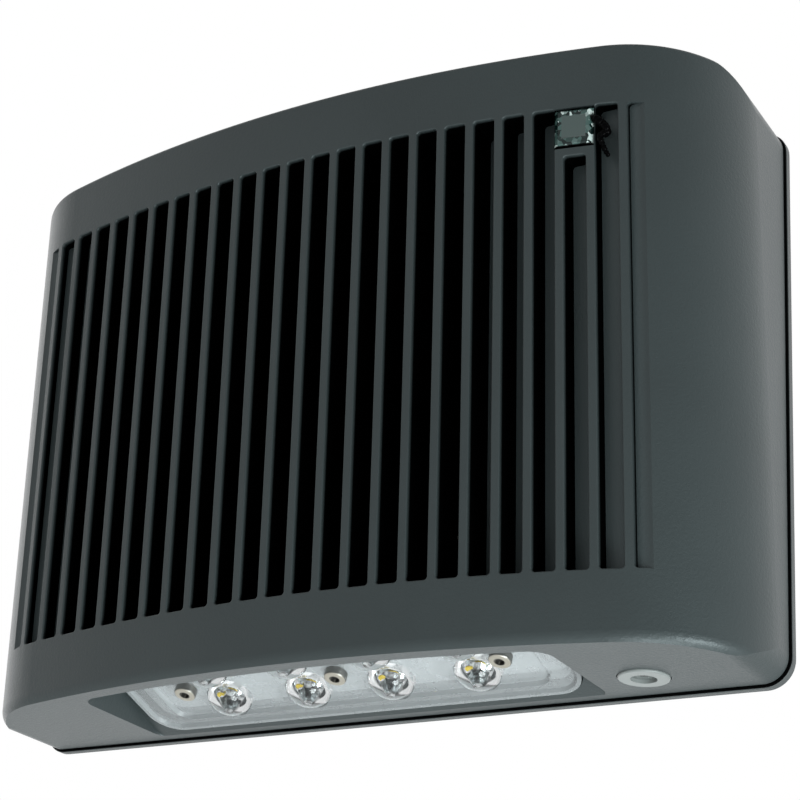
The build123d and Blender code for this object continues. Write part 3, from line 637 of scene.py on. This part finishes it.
materials["smoke_lens"] = smokeLens()
materials["clear_optic"] = clearOptic()
materials["window_glass"] = windowGlass()
materials["powder_coat"] = powderCoat()
materials["plate_coat"] = plateCoat()
for part in frame["record"]["subparts"]:
    shown = frame["nodes"][part["node"]]
    shown.data.materials.clear()
    shown.data.materials.append(materials[part["material_slot"]])
frame["nodes"]["lens_screws"].data.materials[0] = lensScrew()
print("stage: materials")


def addPiece(name, shape, material):
    bmesh.ops.recalc_face_normals(shape, faces=shape.faces)
    mesh = bpy.data.meshes.new(name)
    shape.to_mesh(mesh)
    shape.free()
    mesh.materials.append(material)
    piece = bpy.data.objects.new(name, mesh)
    bpy.context.scene.collection.objects.link(piece)
    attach(piece, "light")
    return piece


# Plane of the optic: X along it, Y to the front and Z out of it
opticAxes = Matrix(
    (
        (1.0, 0.0, 0.0),
        (0.0, -math.cos(optic["tilt"]), math.sin(optic["tilt"])),
        (0.0, -math.sin(optic["tilt"]), -math.cos(optic["tilt"])),
    )
).transposed().to_4x4()
opticMiddle = Matrix.Translation((0.0, optic["middle"], 0.0))
opticFrame = Matrix.Translation(optic["place"]) @ opticAxes @ opticMiddle
middleColumn = (optic["columns"] - 1) / 2
middleRow = (optic["rows"] - 1) / 2
lightSpots = [
    ((column - middleColumn) * optic["pitch"], (row - middleRow) * optic["rowPitch"])
    for column in range(optic["columns"])
    for row in range(optic["rows"])
]

# Faceted prism moulded inside each dome, with a painted reflection of the light's yellow image on its top
prism = {
    "sides": 7,
    "foot": 0.0038,
    "top": 0.0014,
    "height": 0.005,
    "base": -0.0034,
    "lean": (0.0003, -0.0014),
    "twist": 0.7,
    "twistStep": 0.1,
    "imageSides": 10,
    "imageSize": 0.0011,
    "imageSpot": (-0.0013, 0.0026),
    "imageHeight": 0.0014,
    "imageDepth": 0.0003,
    # Blotches from nearly black to nearly white in the facets' colour: painted reflections, as dark
    # strokes and bright patches
    "look": {
        "colour": (0.5, 0.52, 0.52),
        "rough": 0.05,
        "roughSpread": 0.04,
        "patch": 0.0013,
        "grain": 0.0013,
        "spread": 0.98,
        "relief": 0.00012,
        "metal": 1.0,
    },
}
prismShape = bmesh.new()
imageShape = bmesh.new()
for count, (x, y) in enumerate(lightSpots):
    middle = prism["base"] + prism["height"] / 2
    turn = Matrix.Rotation(prism["twist"] * (1 + prism["twistStep"] * count), 4, "Z")
    cone = bmesh.ops.create_cone(
        prismShape,
        cap_ends=True,
        segments=prism["sides"],
        radius1=prism["foot"],
        radius2=prism["top"],
        depth=prism["height"],
        matrix=Matrix.Translation((x, y, middle)) @ turn,
    )
    bmesh.ops.translate(
        prismShape,
        verts=[corner for corner in cone["verts"] if corner.co.z > middle],
        vec=(prism["lean"][0], prism["lean"][1], 0.0),
    )
    # A yellow disc on the prism: painted reflection of the light
    imageX, imageY = prism["imageSpot"]
    spot = (x + imageX, y + imageY, prism["base"] + prism["imageHeight"])
    bmesh.ops.create_cone(
        imageShape,
        cap_ends=True,
        segments=prism["imageSides"],
        radius1=prism["imageSize"],
        radius2=prism["imageSize"],
        depth=prism["imageDepth"],
        matrix=Matrix.Translation(spot),
    )
for shape in (prismShape, imageShape):
    bmesh.ops.transform(shape, matrix=opticFrame, verts=shape.verts)
addPiece("prisms", prismShape, finish("prism", prism["look"]))
addPiece("paintedLightImages", imageShape, materials["phosphor"])

# A string of shiny sealant that came out beside the window, along points across and up from its middle
sealant = {
    "path": [
        (0.007, 0.0026),
        (0.0086, 0.0013),
        (0.0099, 0.0),
        (0.0109, -0.0013),
        (0.0114, -0.0029),
        (0.0103, -0.0038),
        (0.0086, -0.0045),
        (0.0092, -0.006),
        (0.0098, -0.0075),
        (0.0105, -0.0091),
        (0.0112, -0.0107),
        (0.0119, -0.0119),
    ],
    "depth": 0.0011,
    "beads": 5,
    "size": (0.0014, 0.0006),
    "roundness": 2,
    "spread": 0.35,
    "spreadRate": 2.3,
    "sway": 0.0006,
    "swayRate": 1.7,
    "look": {
        "colour": (0.0008, 0.0008, 0.001),
        "rough": 0.1,
        "roughSpread": 0.08,
        "patch": 0.002,
        "grain": 0.0009,
        "spread": 0.2,
        "relief": 0.00012,
        "fixed": {"Specular IOR Level": 0.03},
    },
}
beadShape = bmesh.new()
glassFrame = Matrix.Translation(glass["place"]) @ Matrix.Rotation(glass["turn"], 4, "Z")
lastBead = (len(sealant["path"]) - 1) * sealant["beads"]
for bead in range(lastBead + 1):
    leg = min(bead // sealant["beads"], len(sealant["path"]) - 2)
    step = bead / sealant["beads"] - leg
    along, rise = Vector(sealant["path"][leg]).lerp(Vector(sealant["path"][leg + 1]), step)
    sway = sealant["sway"] * math.sin(sealant["swayRate"] * bead)
    depth = sealant["depth"] - rise * coat["frontLean"] + sway
    size = sealant["size"][0] + (sealant["size"][1] - sealant["size"][0]) * bead / lastBead
    bmesh.ops.create_icosphere(
        beadShape,
        subdivisions=sealant["roundness"],
        radius=size * (1.0 + sealant["spread"] * math.sin(sealant["spreadRate"] * bead)),
        matrix=Matrix.Translation(glassFrame @ Vector((along, depth, rise))),
    )
for face in beadShape.faces:
    face.smooth = True
addPiece("sealant", beadShape, finish("sealant", sealant["look"]))

# Spring over the test button: a copy of the same coil
spring = {"merge": 1e-6}
coilShape = bmesh.new()
coilShape.from_mesh(frame["nodes"]["button_spring"].data)
bmesh.ops.remove_doubles(coilShape, verts=coilShape.verts, dist=spring["merge"])  # loose triangles
springCoil = addPiece("springCoil", coilShape, materials["stainless"])
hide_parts("button_spring")
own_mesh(springCoil)
print("stage: pieces")

# Pale floor well below, a white backdrop for the camera alone and a soft room
room = {
    "floorHeight": -0.85,
    "floorReach": 4.0,
    "floorColour": (0.7, 0.7, 0.7),
    "floorRough": 0.9,
    "white": (1.0, 1.0, 1.0),
    "front": 0.47,
    "rear": 1.5,
    "frontToRear": (-0.6, 0.6),
    "leftward": 0.46,
    "lampColour": (0.92, 0.99, 1.0),
    "lamps": {
        "lowLamp": {"place": (0.32, -0.25, -0.69), "size": 0.3, "power": 2.5},
        "rearLamp": {"place": (-0.8, 1.3, -0.7), "size": 1.2, "power": 1.8},
        "sideLamp": {"place": (0.88, -0.27, -0.54), "size": 0.3, "power": 7.0},
    },
}
bpy.ops.mesh.primitive_plane_add(size=2 * room["floorReach"], location=(0, 0, room["floorHeight"]))
floor = bpy.context.object
floor.name = "floor"
floorMaterial, floorStart = newTree("floor")
floorLook = {"Base Color": tint(room["floorColour"]), "Roughness": room["floorRough"]}
close(floorStart, principled(floorStart, floorLook))
floor.data.materials.append(floorMaterial)

for name, lamp in room["lamps"].items():
    lampData = bpy.data.lights.new(name, "AREA")
    lampData.shape = "DISK"
    lampData.size = lamp["size"]
    lampData.energy = lamp["power"]
    lampData.color = room["lampColour"]
    lampObject = bpy.data.objects.new(name, lampData)
    lampObject.location = lamp["place"]
    lampObject.rotation_euler = (-Vector(lamp["place"])).to_track_quat("-Z", "Y").to_euler()
    bpy.context.scene.collection.objects.link(lampObject)

world = bpy.data.worlds.new("studio")
bpy.context.scene.world = world
world.use_nodes = True
world.node_tree.nodes.clear()
sky = Wire(world.node_tree)
way = sky.node("ShaderNodeTexCoord", output="Generated")
toRight, toWall = parts(way)[:2]
level = ramp(toWall, *room["frontToRear"]) * (room["rear"] - room["front"]) + room["front"]
level = level * (1.0 - toRight * room["leftward"])
roomLight = sky.node("ShaderNodeBackground", {"Color": tint(room["white"]), "Strength": level})
backdrop = sky.node("ShaderNodeBackground", {"Color": tint(room["white"]), "Strength": 1.0})
cameraRay = sky.node("ShaderNodeLightPath", output="Is Camera Ray")
sky.node("ShaderNodeOutputWorld", {"Surface": mixShaders(cameraRay, roomLight, backdrop)})
print("stage: room")

# Camera, matched to the photo
view = {
    "place": (0.35956, -0.56654, -0.29158),
    "azimuth": 32.691,
    "elevation": -25.177,
    "roll": 4.721,
    "lens": 87.021,
    "sensor": 36.0,
    "nearest": 0.01,
}


def aim(view):
    azimuth = math.radians(view["azimuth"])
    elevation = math.radians(view["elevation"])
    roll = math.radians(view["roll"])
    outward = math.cos(elevation)
    back = Vector((math.sin(azimuth) * outward, -math.cos(azimuth) * outward, math.sin(elevation)))
    level = (-back).cross(Vector((0, 0, 1))).normalized()
    top = level.cross(-back)
    right = math.cos(roll) * level + math.sin(roll) * top
    up = math.cos(roll) * top - math.sin(roll) * level
    turn = Matrix((right, up, back)).transposed().to_4x4()
    return Matrix.Translation(view["place"]) @ turn


cameraData = bpy.data.cameras.new("camera")
cameraData.lens = view["lens"]
cameraData.sensor_width = view["sensor"]
cameraData.clip_start = view["nearest"]
camera = bpy.data.objects.new("camera", cameraData)
camera.matrix_world = aim(view)
bpy.context.scene.collection.objects.link(camera)
bpy.context.scene.camera = camera
bpy.context.scene.view_settings.view_transform = "Standard"
print("stage: camera")
